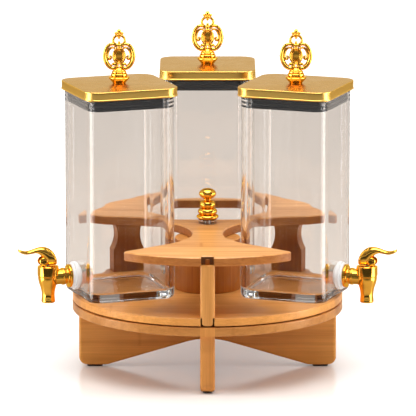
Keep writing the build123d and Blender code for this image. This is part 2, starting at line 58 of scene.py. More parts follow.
def add(tree, kind, inputs=None, **settings):
    """Puts one shader node into a tree, with its settings and inputs."""
    made = tree.nodes.new("ShaderNode" + kind)
    for key, value in settings.items():
        setattr(made, key, value)
    fill(tree, made, inputs or {})
    return made


def reckon(tree, operation, *values, **settings):
    """The result of a Math node."""
    inputs = dict(enumerate(values))
    return add(tree, "Math", inputs, operation=operation, **settings).outputs[0]


def ramp(tree, value, start, end, low, high, shape="LINEAR"):
    """The result of a Map Range node: low at the start of the value's range and high at its end."""
    ends = {"From Min": start, "From Max": end, "To Min": low, "To Max": high}
    return add(tree, "MapRange", {"Value": value, **ends}, interpolation_type=shape).outputs[0]


def mixed(tree, share, a, b, kind="RGBA", **settings):
    """The result of a Mix node between two colours or two numbers."""
    inputs = {"Factor": share, "A": a, "B": b}
    return add(tree, "Mix", inputs, data_type=kind, **settings).outputs["Result"]


def noise(tree, vector, scale, detail, roughness=0.5):
    """The value of a noise texture."""
    inputs = {"Vector": vector, "Scale": scale, "Detail": detail, "Roughness": roughness}
    return add(tree, "TexNoise", inputs).outputs["Fac"]


def new_group(name, inputs, outputs):
    """An empty shader node group with named sockets, given as (name, type, first value). Returns
    its tree, the sockets it is given and the node at its end."""
    tree = bpy.data.node_groups.new(name, "ShaderNodeTree")
    for label, kind, value in inputs:
        kind = "NodeSocket" + kind
        socket = tree.interface.new_socket(label, in_out="INPUT", socket_type=kind)
        if value is not None:
            socket.default_value = value
    for label, kind in outputs:
        tree.interface.new_socket(label, in_out="OUTPUT", socket_type="NodeSocket" + kind)
    given = tree.nodes.new("NodeGroupInput").outputs
    return tree, given, tree.nodes.new("NodeGroupOutput")


def bamboo_strips():
    """Group for laminated bamboo. X of the vector runs along the fibres, Y and Z across the glued
    strips. Each strip has its own tone and its own start, long streaks and fine fibres run along
    it, and a darker knuckle crosses it now and then."""
    light, dark = (0.8, 0.375, 0.105, 1), (0.42, 0.15, 0.024, 1)
    tree, given, end = new_group(
        "bamboo_strips",
        [("Vector", "Vector", None), ("Light", "Color", light), ("Dark", "Color", dark),
         ("Strip Width", "Float", 0.02), ("Contrast", "Float", 1.0)],
        [("Color", "Color"), ("Roughness", "Float"), ("Normal", "Vector")])
    layer_seed, start_spread = 17.31, 3.7
    streak_scale, fibre_scale = (5.0, 210.0, 210.0), (22.0, 1150.0, 1150.0)
    knuckles_per_metre, knuckle_wide, knuckle_dark = 4.3, 0.012, 0.2
    streak_share, fibre_share, strip_share, drift_share = 0.95, 0.55, 0.2, 0.26
    middle_mark, middle_tone = -0.72, 0.32
    dull_least, dull_most = 0.27, 0.46
    split = add(tree, "SeparateXYZ", {0: given["Vector"]}).outputs
    lane = reckon(tree, "DIVIDE", split["Y"], given["Strip Width"])
    lane = reckon(tree, "FLOOR", lane)
    layer = reckon(tree, "DIVIDE", split["Z"], given["Strip Width"])
    layer = reckon(tree, "FLOOR", layer)
    seed = reckon(tree, "MULTIPLY_ADD", layer, layer_seed, lane)
    tone = add(tree, "TexWhiteNoise", {"W": seed}, noise_dimensions="1D").outputs["Value"]
    start = reckon(tree, "MULTIPLY_ADD", tone, start_spread, split["X"])
    along = add(tree, "CombineXYZ", {"X": start, "Y": split["Y"], "Z": split["Z"]}).outputs[0]
    wide = add(tree, "VectorMath", {0: along, 1: streak_scale}, operation="MULTIPLY").outputs[0]
    fine = add(tree, "VectorMath", {0: along, 1: fibre_scale}, operation="MULTIPLY").outputs[0]
    streak = noise(tree, wide, 1.0, 4.0, 0.62)
    fibre = noise(tree, fine, 1.0, 2.0)
    drift = noise(tree, along, 9.0, 2.0)
    cell = reckon(tree, "MULTIPLY", start, knuckles_per_metre)
    cell = reckon(tree, "PINGPONG", cell, 1.0)
    knuckle = ramp(tree, cell, 0.0, knuckle_wide, knuckle_dark, 0.0)
    mark = reckon(tree, "MULTIPLY_ADD", streak, streak_share, middle_mark)
    mark = reckon(tree, "MULTIPLY_ADD", fibre, fibre_share, mark)
    mark = reckon(tree, "MULTIPLY_ADD", tone, strip_share, mark)
    mark = reckon(tree, "MULTIPLY_ADD", drift, drift_share, mark)
    mark = reckon(tree, "ADD", mark, knuckle)
    mark = reckon(tree, "MULTIPLY_ADD", mark, given["Contrast"], middle_tone, use_clamp=True)
    tint = mixed(tree, mark, given["Light"], given["Dark"])
    gloss = ramp(tree, mark, 0.0, 1.0, dull_least, dull_most)
    bump = add(tree, "Bump", {"Strength": 0.1, "Distance": 0.0003, "Height": fibre}).outputs[0]
    fill(tree, end, {"Color": tint, "Roughness": gloss, "Normal": bump})
    return tree


bamboo_group = bamboo_strips()


def new_finish(name):
    """An empty material, and its tree, Principled shader and object coordinates."""
    made = bpy.data.materials.new(name)
    made.use_nodes = True
    tree = made.node_tree
    place = tree.nodes.new("ShaderNodeTexCoord").outputs["Object"]
    return made, tree, tree.nodes["Principled BSDF"], place


def bamboo(name, turn, shift, strip, contrast, upright_painted_light, light=(0.8, 0.375, 0.105), recess=None):
    """Lacquered bamboo with its fibres along X, turned so that they run along the piece. The colour
    given for upright faces multiplies their tone: painted light on some pieces and painted shade on
    others, lighter or darker as the light falls on that piece; faces that look up keep the plain
    tone. Upright faces close to the point of a recess get painted shade as well, darker still."""
    made, tree, skin, place = new_finish(name)
    mapped = add(tree, "Mapping", {"Vector": place, "Location": shift, "Rotation": turn})
    grain = add(tree, "Group", node_tree=bamboo_group,
                inputs={"Vector": mapped.outputs[0], "Light": (*light, 1.0),
                        "Strip Width": strip, "Contrast": contrast}).outputs
    upright_below, level_above = 0.25, 0.8
    look_up = add(tree, "SeparateXYZ", {0: place.node.outputs["Normal"]}).outputs["Z"]
    upright_share = ramp(tree, look_up, upright_below, level_above, 1.0, 0.0)
    # Painted light and shade for upright faces, given per piece.
    upright_paint = (*upright_painted_light, 1.0)
    if recess:
        # Painted shade in a recess: upright faces near its point get darker.
        dark_within, plain_from, darkest = 0.0085, 0.0115, 0.3
        far = add(tree, "VectorMath", {0: place, 1: recess}, operation="DISTANCE").outputs["Value"]
        shade = ramp(tree, far, dark_within, plain_from, darkest, 1.0)
        upright_paint = add(tree, "VectorMath", {0: upright_painted_light, "Scale": shade}, operation="SCALE").outputs[0]
    painted_tone = mixed(tree, upright_share, grain["Color"], upright_paint, blend_type="MULTIPLY")
    fill(tree, skin, {"Base Color": painted_tone, "Roughness": grain["Roughness"],
                      "Normal": grain["Normal"], "Specular IOR Level": 0.28,
                      "Coat Weight": 0.12, "Coat Roughness": 0.18})
    return made


def dress(finish, *names):
    """Gives CAD nodes a finish."""
    for name in names:
        nodes[name].data.materials.clear()
        nodes[name].data.materials.append(finish)


quarter = np.pi / 2
leg_strip = 0.024
# Painted light: the upright faces of both leg boards are made lighter than the plain tone.
side_bamboo = bamboo("bamboo_side_board", turn=(quarter, 0.0, 0.0), shift=(0.11, 0.0, 0.0),
                     strip=leg_strip, contrast=0.85, upright_painted_light=(1.28, 1.28, 1.05))
dress(side_bamboo, "side_leg_board")
front_bamboo = bamboo("bamboo_front_board", turn=(quarter, 0.0, quarter), shift=(0.47, 0.0, 0.0),
                      strip=leg_strip, contrast=0.9, upright_painted_light=(1.12, 1.05, 0.9))
dress(front_bamboo, "front_leg_board")

# Foot pads
# Four small pads of black rubber glued under the board ends, so that the stand does not slide.


def soft_skin():
    """Group for moulded rubber: a fine dull tooth in gloss and relief, and faint clouds in tone."""
    tree, given, end = new_group(
        "soft_skin",
        [("Vector", "Vector", None), ("Color", "Color", (0.03, 0.03, 0.03, 1)),
         ("Gloss", "Float", 0.6)],
        [("Color", "Color"), ("Roughness", "Float"), ("Normal", "Vector")])
    tooth_scale, cloud_scale = 1400.0, 60.0
    cloud_dark, cloud_light, tooth_share = 0.86, 1.1, 0.16
    tooth = noise(tree, given["Vector"], tooth_scale, 3.0)
    cloud = noise(tree, given["Vector"], cloud_scale, 2.0)
    shade = ramp(tree, cloud, 0.0, 1.0, cloud_dark, cloud_light)
    tint = add(tree, "VectorMath", {0: given["Color"], "Scale": shade}, operation="SCALE")
    gloss = reckon(tree, "MULTIPLY_ADD", tooth, tooth_share, given["Gloss"])
    bump = add(tree, "Bump", {"Strength": 0.12, "Distance": 0.0002, "Height": tooth})
    fill(tree, end, {"Color": tint.outputs[0], "Roughness": gloss, "Normal": bump.outputs[0]})
    return tree


soft_group = soft_skin()


def moulded(name, colour, gloss):
    """Rubber or moulded plastic of one colour with a dull tooth."""
    made, tree, skin, place = new_finish(name)
    tooth = add(tree, "Group", {"Vector": place, "Color": (*colour, 1.0), "Gloss": gloss},
                node_tree=soft_group).outputs
    fill(tree, skin, {"Base Color": tooth["Color"], "Roughness": tooth["Roughness"],
                      "Normal": tooth["Normal"]})
    return made


dress(moulded("pad_rubber", (0.03, 0.028, 0.026), 0.6), "foot_pads")

# Fixed disc and turntable disc
# Two discs of bamboo board with eased rims. The upper one turns on the lower one over a thin slit.
level = (0.0, 0.0, 0.0)
disc_strip = 0.026
# Painted light and shade on the rims: the fixed disc's rim is a little darker, the turntable's rim
# lighter.
fixed_bamboo = bamboo("bamboo_fixed_disc", turn=level, shift=(0.23, 0.0, 0.0),
                      strip=disc_strip, contrast=1.0, upright_painted_light=(0.95, 0.92, 0.85))
dress(fixed_bamboo, "base_disc")
turning_bamboo = bamboo("bamboo_turntable", turn=level, shift=(0.71, 0.003, 0.0),
                        strip=disc_strip, contrast=1.0, upright_painted_light=(1.32, 1.32, 1.2))
dress(turning_bamboo, "turntable_disc")

# Bearing between the discs
# Pressed steel rings with a row of balls in a plastic cage, sunk into the two faces and held by
# screws. The screw of the knob on the tray is of the same steel.


def polish_marks():
    """Group for rubbed metal: clouds and hair scratches in gloss, and a faint relief."""
    tree, given, end = new_group(
        "polish_marks",
        [("Vector", "Vector", None), ("Low Gloss", "Float", 0.06), ("High Gloss", "Float", 0.14),
         ("Relief", "Float", 0.02)],
        [("Roughness", "Float"), ("Normal", "Vector"), ("Cloud", "Float")])
    cloud_scale, hair_scale, hair_share = 85.0, (160.0, 2600.0, 2600.0), 0.5
    bright_mark, dull_mark = 0.45, 1.05
    cloud = noise(tree, given["Vector"], cloud_scale, 3.0)
    hair = add(tree, "VectorMath", {0: given["Vector"], 1: hair_scale}, operation="MULTIPLY")
    hair = noise(tree, hair.outputs[0], 1.0, 2.0)
    both = reckon(tree, "MULTIPLY_ADD", hair, hair_share, cloud)
    gloss = ramp(tree, both, bright_mark, dull_mark, given["Low Gloss"], given["High Gloss"])
    bump = add(tree, "Bump", {"Strength": given["Relief"], "Distance": 0.0002, "Height": hair})
    fill(tree, end, {"Roughness": gloss, "Normal": bump.outputs[0], "Cloud": cloud})
    return tree


polish_group = polish_marks()


def metal(name, light, dark, low, high, relief, edge=(1.0, 1.0, 1.0)):
    """Metal between two tones, with its hair scratches along X and its own tone where it is seen
    edge on. Low and high are its roughness where it is best and least polished."""
    made, tree, skin, place = new_finish(name)
    marks = add(tree, "Group", node_tree=polish_group,
                inputs={"Vector": place, "Low Gloss": low, "High Gloss": high,
                        "Relief": relief}).outputs
    tint = mixed(tree, marks["Cloud"], (*light, 1.0), (*dark, 1.0))
    fill(tree, skin, {"Base Color": tint, "Roughness": marks["Roughness"],
                      "Normal": marks["Normal"], "Metallic": 1.0, "Specular Tint": (*edge, 1.0)})
    return made


steel = metal("bearing_steel", (0.62, 0.62, 0.62), (0.5, 0.5, 0.5), 0.2, 0.38, 0.06)
dress(steel, "lower_race", "upper_race", "lower_race_screws", "upper_race_screws",
      "bearing_balls", "knob_screw")
dress(moulded("cage_plastic", (0.12, 0.12, 0.12), 0.4), "ball_cage")

# Tray supports
# Boards on edge between turntable and tray: two waisted brackets, a post at the front rim with
# rounded edges, a turned drum in the middle, and the dowels. Their fibres stand upright.


def eased(corners, bite, steps=7):
    """A line through corner points, each corner cut by a parabola that starts and ends one bite
    away from it and leans on the corner: (1-t)^2 a + 2t(1-t) corner + t^2 b. A bite takes less
    than half of a short side."""
    most = 0.45
    corner = np.asarray(corners, float)
    ahead = np.diff(corner, axis=0)
    length = np.linalg.norm(ahead, axis=1)
    reach = np.zeros(len(corner))
    reach[1:-1] = np.minimum(bite, most * np.minimum(length[:-1], length[1:]))
    ahead = ahead / length[:, None]
    before = corner.copy()
    after = corner.copy()
    before[1:] -= ahead * reach[1:, None]
    after[:-1] += ahead * reach[:-1, None]
    t = np.linspace(0.0, 1.0, steps)[None, :, None]
    arcs = (1 - t) ** 2 * before[:, None] + 2 * t * (1 - t) * corner[:, None]
    arcs = arcs + t ** 2 * after[:, None]
    return np.concatenate([corner[:1], arcs[1:-1].reshape(-1, corner.shape[1]), corner[-1:]])


def turned(line, count=72):
    """The surface of a line of (radius, height) turned about Z: (r cos a, r sin a, h)."""
    angle = np.linspace(0.0, 2 * np.pi, count, endpoint=False)
    radius, height = line[:, :1], line[:, 1:]
    return np.stack([radius * np.cos(angle), radius * np.sin(angle), height + 0 * angle], -1)


def new_piece(name, grids, finish, body, stands_for=(), crease=38.0):
    """One closed mesh from grids of points in millimetres. Each grid is joined by quads and closes
    on itself across its columns; its ends close by running into one point or into their own
    start. Edges sharper than the crease stay sharp."""
    millimetre, weld, sliver = 0.001, 2e-6, 1e-7
    points, quads, first = [], [], 0
    for grid in grids:
        rows, columns = grid.shape[:2]
        row = np.arange(rows - 1)[:, None] * columns + first
        here = np.arange(columns)[None, :]
        there = (here + 1) % columns
        ring = [row + here, row + there, row + columns + there, row + columns + here]
        quads.append(np.stack(ring, -1).reshape(-1, 4))
        points.append(grid.reshape(-1, 3))
        first += rows * columns
    points = np.concatenate(points) * millimetre
    mesh = bpy.data.meshes.new(name)
    mesh.from_pydata(points.tolist(), [], np.concatenate(quads).tolist())
    shell = bmesh.new()
    shell.from_mesh(mesh)
    bmesh.ops.remove_doubles(shell, verts=shell.verts, dist=weld)
    bmesh.ops.dissolve_degenerate(shell, edges=shell.edges, dist=sliver)
    bmesh.ops.recalc_face_normals(shell, faces=shell.faces)
    shell.to_mesh(mesh)
    shell.free()
    mesh.shade_smooth()
    mesh.set_sharp_from_angle(angle=np.radians(crease))
    mesh.materials.append(finish)
    made = bpy.data.objects.new(name, mesh)
    bpy.context.scene.collection.objects.link(made)
    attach(made, body)
    if stands_for:
        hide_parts(*stands_for)
    return made


def box_mm(name):
    """The low and the high corner of a CAD node's box, in millimetres."""
    return [np.array(corner) * 1000 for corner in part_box(name)]


upright = (0.0, quarter, 0.0)
# Painted shade: the upright faces of the brackets and dowels are darkened where the tray shades
# them.
bracket_bamboo = bamboo("bamboo_brackets", turn=upright, shift=(0.05, 0.0, 0.0), strip=0.013,
                        contrast=1.2, upright_painted_light=(0.52, 0.36, 0.17))
dress(bracket_bamboo, "left_bracket", "right_bracket", "tray_dowels")
# Painted light: the post's upright faces are made lighter, standing in for its lit front.
post_bamboo = bamboo("bamboo_post", turn=upright, shift=(0.31, 0.0, 0.0), strip=0.012,
                     contrast=1.0, upright_painted_light=(1.25, 1.3, 1.35))
dress(post_bamboo, "front_post")
# Painted shade: the drum's upright faces are darkened, standing in for the shade under the tray.
column_bamboo = bamboo("bamboo_column", turn=upright, shift=(0.57, 0.0, 0.0), strip=0.016,
                       contrast=1.0, upright_painted_light=(0.68, 0.48, 0.2))
column_low, column_high = box_mm("center_column")
column_y = (column_low[1] + column_high[1]) / 2
drum_wide, drum_foot, drum_top = 36.5, 86.5, 144.0
drum_line = eased([(0.0, drum_foot), (drum_wide, drum_foot), (drum_wide, drum_top),
                   (0.0, drum_top)], bite=1.2)
new_piece("column_drum", [turned(drum_line) + (0.0, column_y, 0.0)], column_bamboo,
          "turntable", ["center_column"])

# Tray
# One bamboo board sawn with two open bays, a closed hole at the back and a notch over the front
# post. The glued strips run from left to right. The notch has painted shade inside, and the
# upright faces have painted shade too.
# Painted shade: the tray's upright faces are darkened, and the notch over the post more so.
tray_bamboo = bamboo("bamboo_tray", turn=level, shift=(0.37, 0.006, 0.0), strip=0.022,
                     contrast=1.2, upright_painted_light=(0.66, 0.48, 0.3), light=(0.88, 0.46, 0.16),
                     recess=(0.0, -0.143, 0.149))
dress(tray_bamboo, "tray")

# Knob on the tray
# A turned and polished knob of stacked beads on a clear acrylic foot, in front of the back jar.


def beads(rows):
    """Half of a stack of turned beads as a line: for each bead of (middle height, half height,
    neck, belly) the half ellipse neck + (belly - neck) cos a, middle + half height sin a."""
    angle = np.linspace(-np.pi / 2, np.pi / 2, 15)
    middle, half, neck, belly = np.asarray(rows, float).T[:, :, None]
    radius = neck + (belly - neck) * np.cos(angle)
    return np.stack([radius, middle + half * np.sin(angle)], -1).reshape(-1, 2)


gold_edge = (1.0, 0.75, 0.35)
gold = metal("polished_gold", (1.0, 0.57, 0.09), (0.93, 0.48, 0.06), 0.05, 0.12, 0.015, gold_edge)
knob_low, knob_high = box_mm("tray_knob")
knob_tall = knob_high[2] - knob_low[2]
knob_mid = np.array([0.0, (knob_low[1] + knob_high[1]) / 2, knob_low[2]])
knob_start = 0.01 * knob_tall
# The heights of the beads are shares of the knob's height.
knob_line = beads([(0.085, 0.075, 7.8, 12.4), (0.255, 0.105, 6.6, 10.8),
                   (0.475, 0.125, 4.4, 8.8), (0.635, 0.035, 3.4, 4.4),
                   (0.825, 0.175, 0.0, 9.6)]) * (1.0, knob_tall)
knob_line = np.concatenate([[(0.0, knob_start)], knob_line])
new_piece("knob_turned", [turned(knob_line) + knob_mid], gold, "turntable", ["tray_knob"])


def clear(name, tint, ior):
    """Clear cast material with a faint wave in its faces. Shadow and diffuse rays go straight
    through it, and so do rays that were mirrored inside it three times, which would otherwise end
    in black."""
    made, tree, skin, place = new_finish(name)
    wave_scale, clear_wave, hazy_wave, most_haze = 14.0, 0.3, 0.75, 0.012
    wave = noise(tree, place, wave_scale, 1.0)
    bump = add(tree, "Bump", {"Strength": 0.03, "Distance": 0.002, "Height": wave})
    haze = ramp(tree, wave, clear_wave, hazy_wave, 0.0, most_haze)
    fill(tree, skin, {"Base Color": (*tint, 1.0), "Roughness": haze, "Normal": bump.outputs[0],
                      "Transmission Weight": 1.0, "IOR": ior})
    path = add(tree, "LightPath").outputs
    through = reckon(tree, "MAXIMUM", path["Is Shadow Ray"], path["Is Diffuse Ray"])
    trapped = reckon(tree, "GREATER_THAN", path["Glossy Depth"], 2.5)
    through = reckon(tree, "MAXIMUM", through, trapped)
    open_way = add(tree, "BsdfTransparent", {"Color": (*np.sqrt(tint), 1.0)})
    both = add(tree, "MixShader", {0: through, 1: skin.outputs[0], 2: open_way.outputs[0]})
    depth = add(tree, "VolumeAbsorption", {"Color": (0.2, 0.23, 0.26, 1), "Density": 9.0})
    fill(tree, tree.nodes["Material Output"],
         {"Surface": both.outputs[0], "Volume": depth.outputs[0]})
    return made


acrylic = clear("clear_acrylic", tint=(0.96, 0.94, 0.92), ior=1.45)
foot_low, foot_high = box_mm("knob_foot")
foot_wide, foot_tall = (foot_high[0] - foot_low[0]) / 2, foot_high[2] - foot_low[2]
foot_line = eased([(0, 0), (foot_wide, 0), (foot_wide, foot_tall), (0, foot_tall)], bite=0.8)
new_piece("knob_foot_clear", [turned(foot_line) + (0.0, knob_mid[1], foot_low[2])], acrylic,
          "turntable", ["knob_foot"])

# Glass jars
# Three square jars of clear pressed glass with rounded corners and a thick floor. The front two
# stand in the open bays, the third in the hole at the back. Their taps point outwards.
table_top = 86.5
# Each place is X, Y and the angle of the tap about Z in degrees.
places = {"left": (-97.0, -18.0, 200.0), "right": (97.0, -18.0, -20.0), "back": (0.0, 112.0, 90.0)}
carriers = {"left": "left_jar_body", "right": "right_jar_body", "back": "turntable"}


def set_down(grid, spot):
    """Turns points about Z by the angle of a jar and moves them to its place on the turntable."""
    x, y, degrees = places[spot]
    c, s = np.cos(np.radians(degrees)), np.sin(np.radians(degrees))
    turn = np.array([[c, s, 0.0], [-s, c, 0.0], [0.0, 0.0, 1.0]])
    return grid @ turn + (x, y, table_top)


def squared(rows, arc=10):
    """A surface through rounded squares, one for each row of (half width, corner radius, height):
    the corner centres plus radius times (cos a, sin a), with a short straight step at both ends
    of each corner."""
    step_share = 0.12
    half, corner, height = np.asarray(rows, float).T[:, :, None]
    bend = np.linspace(0.0, np.pi / 2, arc)
    bend = np.concatenate([bend[:1], bend, bend[-1:]])
    step = np.zeros(arc + 2)
    step[0], step[-1] = -1.0, 1.0
    step = np.tile(step, 4)
    quarter_turn = np.arange(4)[:, None] * np.pi / 2
    angle = (quarter_turn + bend).ravel()
    diagonal = np.repeat(quarter_turn.ravel() + np.pi / 4, arc + 2)
    inset = np.sqrt(2.0) * (half - corner)
    lead = step_share * (half - corner) * step
    x = inset * np.cos(diagonal) + corner * np.cos(angle) - lead * np.sin(angle)
    y = inset * np.sin(diagonal) + corner * np.sin(angle) + lead * np.cos(angle)
    return np.stack([x, y, height + 0 * x], -1)


def rounded_rows(line, corner, least):
    """Rows for squared from a line of (half width, height). The corner radius shrinks with the
    half width, but not below the least share of it."""
    half_width, height = line.T
    radius = np.clip(corner - (np.max(half_width) - half_width), least * half_width, None)
    return np.stack([half_width, np.minimum(radius, half_width), height], -1)


def jar_rows(size=101.0, corner=15.0, tall=225.0, wall=4.0, floor=9.0):
    """Rows of a jar from the middle of its hollow underside, over the foot ring, up the outside,
    over the rim and down to the inner floor."""
    half, inner = size / 2, size / 2 - wall
    hollow, foot, belly = 0.8, 0.15, 4.0
    line = eased([(0.0, hollow), (half - 9.0, hollow), (half - 7.5, foot), (half - 1.6, foot),
                  (half, belly), (half, tall), (inner, tall), (inner, floor), (0.0, floor)],
                 bite=3.2, steps=9)
    return rounded_rows(line, corner, least=0.3)


jar_glass = clear("jar_glass", tint=(0.98, 0.972, 0.965), ior=1.47)
for spot, body in carriers.items():
    new_piece(spot + "_jar_pressed", [set_down(squared(jar_rows()), spot)], jar_glass, body,
              [spot + "_jar"], crease=60.0)

# Washers and clamping nuts of the taps
# Soft white silicone rings seal the tap hole outside and inside, and a gold nut pulls them against
# the glass. Lines of turned parts are rows of (radius, distance along the axis).
axis_height = 23.5


def along_x(grid):
    """Lays a surface turned about Z down along X, at the height of the tap's shank."""
    return np.stack([grid[..., 2], grid[..., 1], axis_height - grid[..., 0]], -1)


silicone = moulded("white_silicone", (0.86, 0.86, 0.87), 0.34)
fill(silicone.node_tree, silicone.node_tree.nodes["Principled BSDF"],
     {"Subsurface Weight": 0.25, "Subsurface Radius": (0.002, 0.002, 0.002)})
washer_line = eased([(7.1, 50.55), (15.5, 50.55), (15.5, 52.5), (15.0, 52.75), (15.5, 53.0),
                     (15.5, 55.0), (13.8, 55.0), (13.8, 57.95), (7.1, 57.95), (7.1, 50.55)],
                    bite=0.55)
for spot, body in carriers.items():
    new_piece(spot + "_washer_stepped", [set_down(along_x(turned(washer_line)), spot)], silicone,
              body, [spot + "_tap_washer"])
    dress(silicone, spot + "_inner_washer")
    dress(gold, spot + "_tap_nut")

# Tap bodies and bonnets
# Cast brass, turned and gold plated: a shank, a flange, a ringed stem and a barrel with a collar,
# which narrows to a flared spout. A bonnet closes the barrel and carries the lever's pin.
barrel_x = 83.5
pin_x, pin_z = 6.0, 18.5


def flowing(stations, count):
    """A smooth line through all its stations: on each span the Catmull-Rom cubic of the four
    nearest stations."""
    station = np.asarray(stations, float)
    padded = np.concatenate([2 * station[:1] - station[1:2], station,
                             2 * station[-1:] - station[-2:-1]])
    s = np.linspace(0.0, len(station) - 1.0, count)
    span = np.minimum(s.astype(int), len(station) - 2)
    t = (s - span)[:, None]
    a, b, c, d = (padded[span + k] for k in range(4))
    square, cube = 2 * a - 5 * b + 4 * c - d, 3 * b - a - 3 * c + d
    return 0.5 * (2 * b + (c - a) * t + square * t ** 2 + cube * t ** 3)


def over_barrel(grid):
    """Moves a surface from the tap's own centre to the barrel."""
    return grid + (barrel_x, 0.0, axis_height)


collar = [(0.0, 10.8), (9.75, 10.8), (9.75, 12.5), (11.7, 12.5), (11.7, 2.3), (10.7, 1.9),
          (10.7, 1.4), (11.2, 1.0)]
belly = flowing([(11.2, 1.0), (10.9, -2.4), (9.95, -6.5), (8.15, -12.2), (7.1, -19.1),
                 (7.55, -25.6), (7.45, -27.4)], count=48)
lip = [(7.45, -27.4), (7.0, -28.0), (4.8, -28.0), (4.6, -27.7), (4.6, -12.0), (0.0, -12.0)]
barrel_line = np.concatenate([eased(collar, bite=0.3), belly[1:-1], eased(lip, bite=0.3)])
stem_line = eased([(0.0, 35.6), (7.0, 35.6), (7.0, 58.05), (12.75, 58.05), (12.75, 60.9),
                   (9.9, 61.3), (8.7, 62.2), (8.7, 64.7), (9.5, 64.95), (9.5, 67.75), (8.7, 68.0),
                   (8.7, 79.0), (0.0, 79.0)], bite=0.7)
bonnet_line = eased([(0.0, 8.1), (9.6, 8.1), (9.6, 12.6), (8.9, 13.2), (4.5, 13.2), (0.0, 13.2)],
                    bite=0.5)
post = squared([(1e-3, 5e-4, 12.6), (2.4, 1.0, 12.6), (2.4, 1.0, 17.6), (1.9, 0.9, 18.4),
                (1e-3, 5e-4, 18.4)], arc=6) + (pin_x, 0.0, 0.0)
barrel, stem = over_barrel(turned(barrel_line)), along_x(turned(stem_line))
bonnet = [over_barrel(turned(bonnet_line)), over_barrel(post)]
for spot, body in carriers.items():
    new_piece(spot + "_tap_cast", [set_down(barrel, spot), set_down(stem, spot)], gold, body,
              [spot + "_tap_body"])
    new_piece(spot + "_bonnet_turned", [set_down(grid, spot) for grid in bonnet], gold, body,
              [spot + "_tap_bonnet"])

# Tap levers
# A hood over the bonnet that runs out into a waved leaf with an upturned tip, all one polished
# casting. Two round cheeks hold it on its pin, and it lifts the plunger when the leaf is pressed.


def leaf(stations, count, round_count=36, power=2.5):
    """A lengthwise surface through stations of (distance out, top, underside, half width): across
    it runs the superellipse |y|^p + |z|^p = 1 scaled to half width and half thickness."""
    out, top, under, half = flowing(stations, count).T[:, :, None]
    angle = np.linspace(0.0, 2 * np.pi, round_count, endpoint=False)
    across = np.sign(np.cos(angle)) * np.abs(np.cos(angle)) ** (2 / power)
    rise = np.sign(np.sin(angle)) * np.abs(np.sin(angle)) ** (2 / power)
    half = np.maximum(half, 1e-3)
    thick = np.maximum(top - under, 2e-3)
    return np.stack([out + 0 * angle, half * across, (top + under) / 2 + thick / 2 * rise], -1)


def cheek(side, radius=4.9, near=2.9, far=6.1):
    """A round cheek on the pin, turned about Y, on one side of the post."""
    line = flowing([(0.0, near), (radius - 0.4, near), (radius, near + 1.0),
                    (radius - 0.5, far - 0.9), (2.6, far - 0.1), (0.0, far)], count=40)
    ring = turned(line, count=48)
    ring = np.stack([ring[..., 0], side * ring[..., 2], ring[..., 1]], -1)
    return ring + (pin_x, 0.0, pin_z)


lever_foot, lever_stretch = 12.5, 1.055
lever_stations = np.array([
    (-9.35, 5.2, 3.6, 0.0), (-9.2, 7.4, 1.9, 3.6), (-8.4, 10.2, 1.4, 5.2), (-6.2, 14.4, 1.35, 6.1),
    (-2.6, 17.9, 1.35, 6.45), (0.4, 19.6, 1.6, 6.5), (3.0, 20.6, 5.4, 6.4), (7.0, 20.9, 10.4, 6.0),
    (10.6, 20.6, 13.4, 5.2), (14.2, 19.8, 14.6, 4.4), (18.2, 18.7, 14.4, 3.9),
    (22.0, 17.9, 14.0, 4.0), (26.0, 17.7, 14.0, 4.5), (29.6, 18.5, 14.9, 4.6),
    (32.3, 19.6, 16.2, 4.0), (33.7, 20.1, 17.2, 2.6), (34.1, 19.4, 18.2, 0.0)])
lever_stations[:, 1:3] = lever_foot + lever_stretch * lever_stations[:, 1:3]
lever = [over_barrel(grid) for grid in (leaf(lever_stations, count=120), cheek(1.0), cheek(-1.0))]
for spot in carriers:
    new_piece(spot + "_lever_cast", [set_down(grid, spot) for grid in lever], gold,
              spot + "_lever", [spot + "_tap_lever"])
    dress(gold, spot + "_lever_pin")
    dress(moulded(spot + "_valve_plastic", (0.8, 0.8, 0.78), 0.3), spot + "_tap_plunger")

# Lids
# A square cover of satin gold with a brighter edge, over a plug of dark plastic that carries a
# ribbed black seal, which presses against the glass.
lid_low, lid_top = 225.3, 235.3


def lid_finish():
    """Satin gold on the flat top, brushed from left to right, and brighter gold of an even gloss
    round the edge below it."""
    made, tree, skin, place = new_finish("satin_gold")
    edge_from, top_from = 0.32155, 0.32175
    edge_tint, edge_gloss = (0.92, 0.56, 0.13, 1), 0.28
    height = add(tree, "SeparateXYZ", {0: place}).outputs["Z"]
    top = ramp(tree, height, edge_from, top_from, 0.0, 1.0)
    marks = add(tree, "Group", node_tree=polish_group,
                inputs={"Vector": place, "Low Gloss": 0.2, "High Gloss": 0.34,
                        "Relief": 0.04}).outputs
    satin = mixed(tree, marks["Cloud"], (0.55, 0.34, 0.12, 1), (0.48, 0.29, 0.1, 1))
    tint = mixed(tree, top, edge_tint, satin)
    gloss = mixed(tree, top, edge_gloss, marks["Roughness"], "FLOAT")
    fill(tree, skin, {"Base Color": tint, "Roughness": gloss, "Normal": marks["Normal"],
                      "Metallic": 1.0, "Specular Tint": (1.0, 0.8, 0.5, 1.0)})
    return made


def cover_rows(half=54.0, corner=17.0):
    """Rows of the cover: flat underside, a side with a fine bead at the lower edge, a rounded
    upper edge, flat top."""
    side = half - 0.5
    line = eased([(0.0, lid_low), (half - 0.7, lid_low), (half, lid_low + 0.5),
                  (half, lid_low + 1.2), (side, lid_low + 1.7), (side, lid_top - 2.4),
                  (half - 0.3, lid_top), (0.0, lid_top)], bite=1.5, steps=9)
    return rounded_rows(line, corner, least=0.31)


